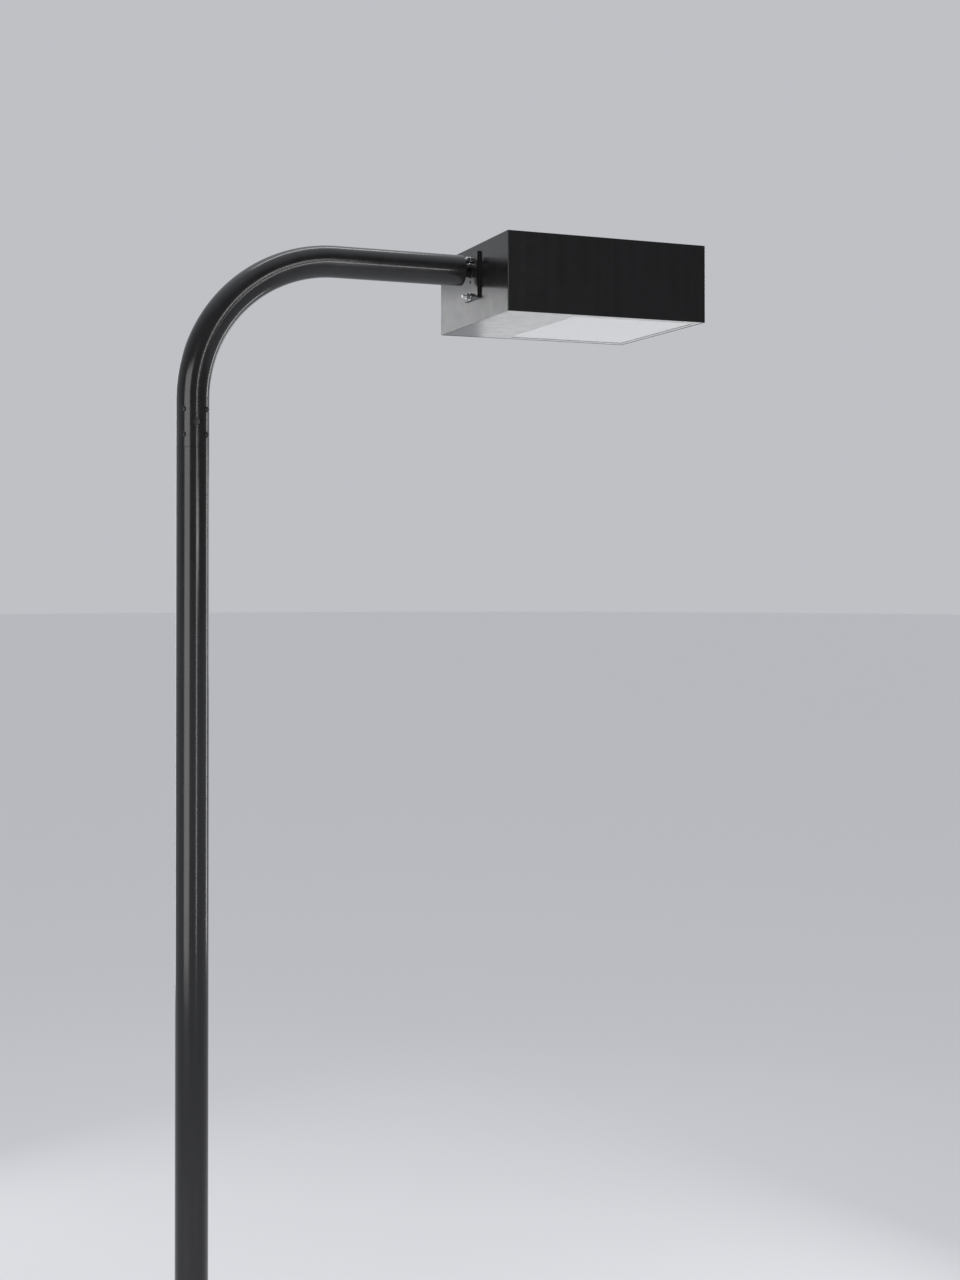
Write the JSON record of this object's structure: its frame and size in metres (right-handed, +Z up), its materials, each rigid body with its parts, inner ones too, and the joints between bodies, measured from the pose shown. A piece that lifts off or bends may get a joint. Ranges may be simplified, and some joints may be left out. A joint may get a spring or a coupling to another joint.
{
  "type": "street lamp post",
  "caption": "Round black street lamp post: bolted base under a sliding cover, straight shaft, bent davit arm and a flat box luminaire with a hinged opal lens door.",
  "frame": {"origin": "on the shaft's axis, on the underside of the base flange, where the post stands on its foundation", "axes": "+Z up along the shaft; +X along the level arm towards the luminaire; +Y to the left of the arm, so the hand hole faces -Y"},
  "size_m": [1.797, 0.604, 4.3458],
  "materials": {
    "black_paint": "satin black powder coat",
    "zinc_steel": "zinc plated",
    "stainless": "machined stainless",
    "black_screw": "black oxide",
    "rubber_seal": "matte",
    "opal_lens": "smooth opal",
    "white_paint": "matte white",
    "bare_aluminium": "extruded",
    "led_board": "white board with frosted optics",
    "driver_case": "light grey",
    "terminal_plastic": "moulded"
  },
  "bodies": {
    "post": {"anchor_nut_1": "zinc_steel", "anchor_nut_2": "zinc_steel", "anchor_nut_3": "zinc_steel", "anchor_nut_4": "zinc_steel", "anchor_stud_1": "zinc_steel", "anchor_stud_2": "zinc_steel", "anchor_stud_3": "zinc_steel", "anchor_stud_4": "zinc_steel", "arm_neck": "black_paint", "arm_set_screw_1": "black_screw", "arm_set_screw_2": "black_screw", "arm_set_screw_3": "black_screw", "arm_set_screw_4": "black_screw", "arm_set_screw_5": "black_screw", "arm_set_screw_6": "black_screw", "arm_set_screw_7": "black_screw", "arm_set_screw_8": "black_screw", "arm_through_bolt": "black_screw", "arm_through_nut": "black_screw", "base_flange": "black_paint", "davit_arm": "black_paint", "driver": "driver_case", "ground_lug": "zinc_steel", "handhole_rim": "black_paint", "head_bolt_1": "stainless", "head_bolt_2": "stainless", "head_nut_1": "stainless", "head_nut_2": "stainless", "heat_sink": "bare_aluminium", "hinge_bracket_left": "zinc_steel", "hinge_bracket_right": "zinc_steel", "hinge_pin_left": "stainless", "hinge_pin_right": "stainless", "housing": "black_paint", "latch_keeper_left": "zinc_steel", "latch_keeper_right": "zinc_steel", "led_board": "led_board", "mounting_gasket": "rubber_seal", "mounting_plate": "black_paint", "pole_shaft": "black_paint", "pole_tenon": "black_paint", "reflector_pan": "white_paint", "terminal_block": "terminal_plastic"},
    "base_cover": {"base_cover": "black_paint"},
    "handhole_cover": {"handhole_cover": "black_paint", "handhole_screw_upper": "black_screw", "handhole_screw_lower": "black_screw"},
    "door": {"door_frame": "black_paint", "lens_gasket": "rubber_seal", "lens": "opal_lens", "door_gasket": "rubber_seal", "hinge_leaf_left": "zinc_steel", "hinge_leaf_right": "zinc_steel"},
    "latch_left": {"latch_stud_left": "stainless"},
    "latch_right": {"latch_stud_right": "stainless"}
  },
  "joints": [
    {"name": "base_cover_lift", "type": "slide", "parent": "post", "child": "base_cover", "axis": [0, 0, 1], "range_m": [0, 0.25]},
    {"name": "handhole_cover_off", "type": "slide", "parent": "post", "child": "handhole_cover", "axis": [0, -1, 0], "range_m": [0, 0.06]},
    {"name": "lens_door_swing", "type": "hinge", "parent": "post", "child": "door", "pos_m": [0.961, 0, 4.1028], "axis": [0, 1, 0], "range_deg": [0, 90]},
    {"name": "latch_left_turn", "type": "hinge", "parent": "door", "child": "latch_left", "pos_m": [1.571, 0.287, 4.0918], "axis": [0, 0, 1], "range_deg": [0, 90]},
    {"name": "latch_right_turn", "type": "hinge", "parent": "door", "child": "latch_right", "pos_m": [1.571, -0.287, 4.0918], "axis": [0, 0, 1], "range_deg": [0, 90]}
  ]
}
